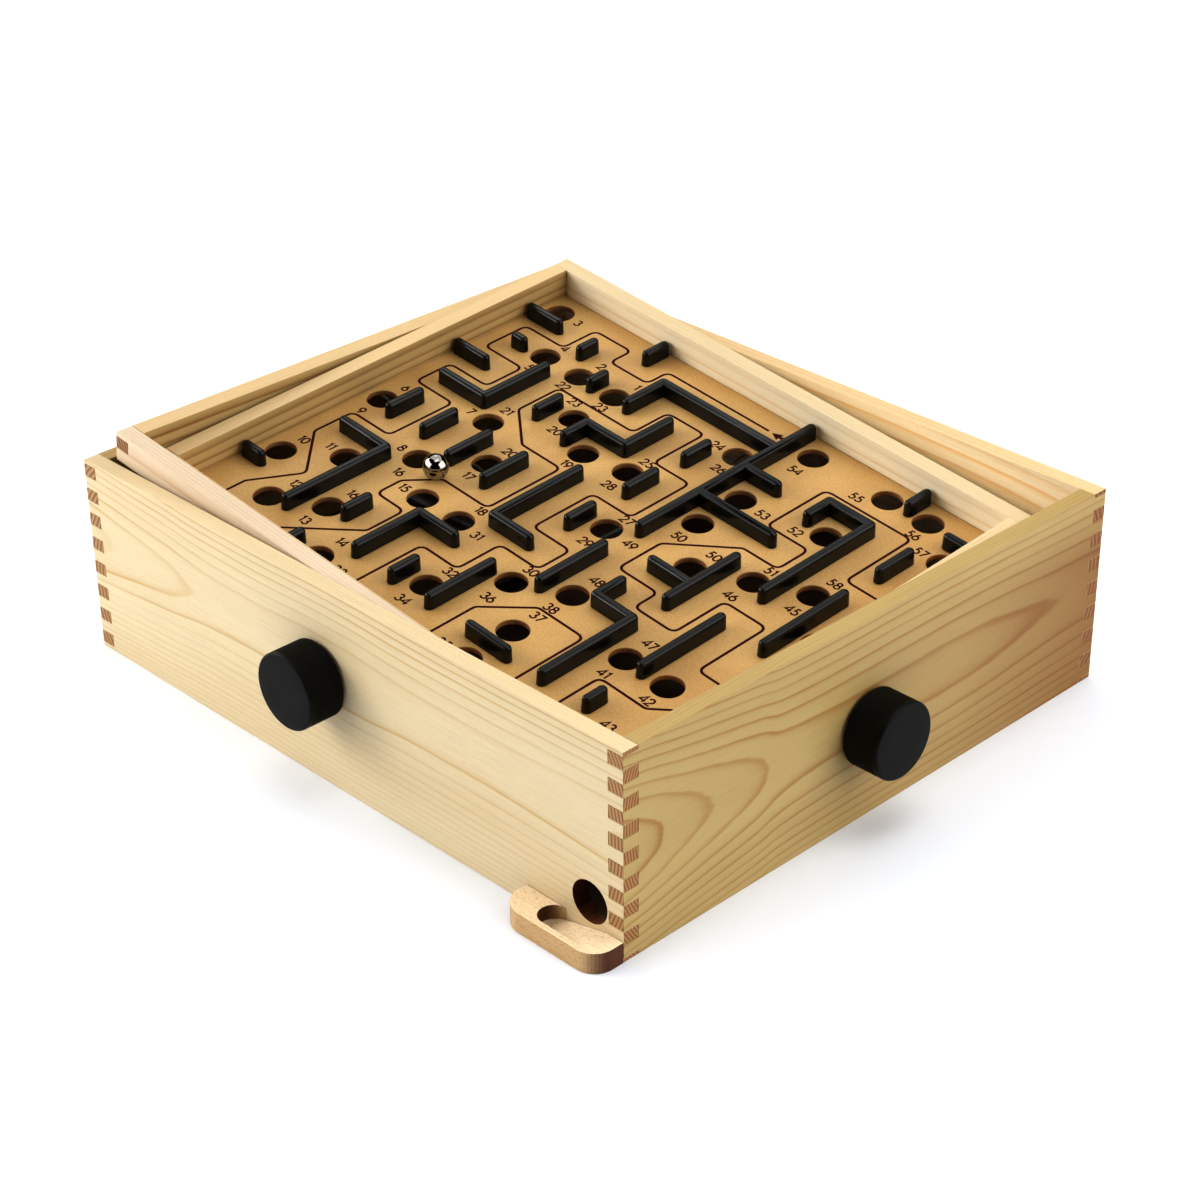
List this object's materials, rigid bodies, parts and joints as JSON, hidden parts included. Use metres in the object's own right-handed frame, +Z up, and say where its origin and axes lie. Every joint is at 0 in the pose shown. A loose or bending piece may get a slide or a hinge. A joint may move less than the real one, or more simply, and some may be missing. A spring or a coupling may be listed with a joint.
{
  "type": "tilt maze game",
  "caption": "Open pine box with a ring and a maze board that tilt about two crossed axes by knobs and strings, a steel ball and a catch tray.",
  "frame": {"origin": "middle of the base of the whole outline, both knobs and the tray included", "axes": "+Z up, +X along the front wall (the wall with the second knob), +Y along the left wall (the wall with the exit hole and the tray)"},
  "size_m": [0.3298, 0.3748, 0.1234],
  "materials": {
    "pine": "smooth sanded pine with a thin clear varnish",
    "pale_pine": "smooth sanded pale pine",
    "beech": "routed fine-pored beech",
    "hardboard": "satin printed hardboard",
    "plywood": "thin plain plywood",
    "maze_plastic": "satin black moulded plastic",
    "knob_plastic": "matt black moulded plastic",
    "steel": "drawn steel rod and wire",
    "polished_steel": "mirror polished ball bearing steel",
    "string": "braided cotton cord"
  },
  "bodies": {
    "box": {"wall_left": "pine", "wall_right": "pine", "wall_front": "pine", "wall_back": "pine", "return_floor": "plywood", "catch_tray": "beech", "ring_pin_left": "steel", "ring_pin_right": "steel", "ring_string": "string", "maze_string": "string"},
    "tilt_ring": {"ring_rail_left": "pale_pine", "ring_rail_right": "pale_pine", "ring_rail_front": "pale_pine", "ring_rail_back": "pale_pine", "maze_pin_front": "steel", "maze_pin_back": "steel", "ring_spring": "steel"},
    "maze": {"frame_rail_left": "pale_pine", "frame_rail_right": "pale_pine", "frame_rail_front": "pale_pine", "frame_rail_back": "pale_pine", "maze_board": "hardboard", "maze_spring": "steel", "maze_wall_01": "maze_plastic", "maze_wall_02": "maze_plastic", "maze_wall_03": "maze_plastic", "maze_wall_04": "maze_plastic", "maze_wall_05": "maze_plastic", "maze_wall_06": "maze_plastic", "maze_wall_07": "maze_plastic", "maze_wall_08": "maze_plastic", "maze_wall_09": "maze_plastic", "maze_wall_10": "maze_plastic", "maze_wall_11": "maze_plastic", "maze_wall_12": "maze_plastic", "maze_wall_13": "maze_plastic", "maze_wall_14": "maze_plastic", "maze_wall_15": "maze_plastic", "maze_wall_16": "maze_plastic", "maze_wall_17": "maze_plastic", "maze_wall_18": "maze_plastic", "maze_wall_19": "maze_plastic", "maze_wall_20": "maze_plastic", "maze_wall_21": "maze_plastic", "maze_wall_22": "maze_plastic", "maze_wall_23": "maze_plastic", "maze_wall_24": "maze_plastic", "maze_wall_25": "maze_plastic", "maze_wall_26": "maze_plastic", "maze_wall_27": "maze_plastic", "maze_wall_28": "maze_plastic", "maze_wall_29": "maze_plastic", "maze_wall_30": "maze_plastic", "maze_wall_31": "maze_plastic", "maze_wall_32": "maze_plastic"},
    "left_control": {"knob_left": "knob_plastic", "shaft_left": "steel"},
    "front_control": {"knob_front": "knob_plastic", "shaft_front": "steel"},
    "ball": {"steel_ball": "polished_steel"}
  },
  "joints": [
    {"name": "ring_tilt", "type": "hinge", "parent": "box", "child": "tilt_ring", "pos_m": [0.0099, 0.0099, 0.0875], "axis": [1, 0, 0], "range_deg": [-14.5, 0.5], "deforming": ["ring_string", "maze_string", "ring_spring", "maze_spring"]},
    {"name": "maze_tilt", "type": "hinge", "parent": "tilt_ring", "child": "maze", "pos_m": [0.0099, 0.0099, 0.0875], "axis": [0, 0.9925, 0.1219], "range_deg": [-1.5, 10.5], "deforming": ["ring_string", "maze_string", "ring_spring", "maze_spring"]},
    {"name": "left_knob_turn", "type": "hinge", "parent": "box", "child": "left_control", "pos_m": [0, 0.0192, 0.0545], "axis": [1, 0, 0], "range_deg": [-5, 137]},
    {"name": "front_knob_turn", "type": "hinge", "parent": "box", "child": "front_control", "pos_m": [0.0024, 0, 0.0465], "axis": [0, 1, 0], "range_deg": [-123, 18]},
    {"name": "ball_roll", "type": "slide", "parent": "maze", "child": "ball", "axis": [0, 0.9925, 0.1219], "range_m": [-0.0365, 0.009]}
  ],
  "couplings": [
    {"joint": "left_knob_turn", "follows": "ring_tilt", "ratio": -9.4286},
    {"joint": "front_knob_turn", "follows": "maze_tilt", "ratio": -11.714}
  ]
}
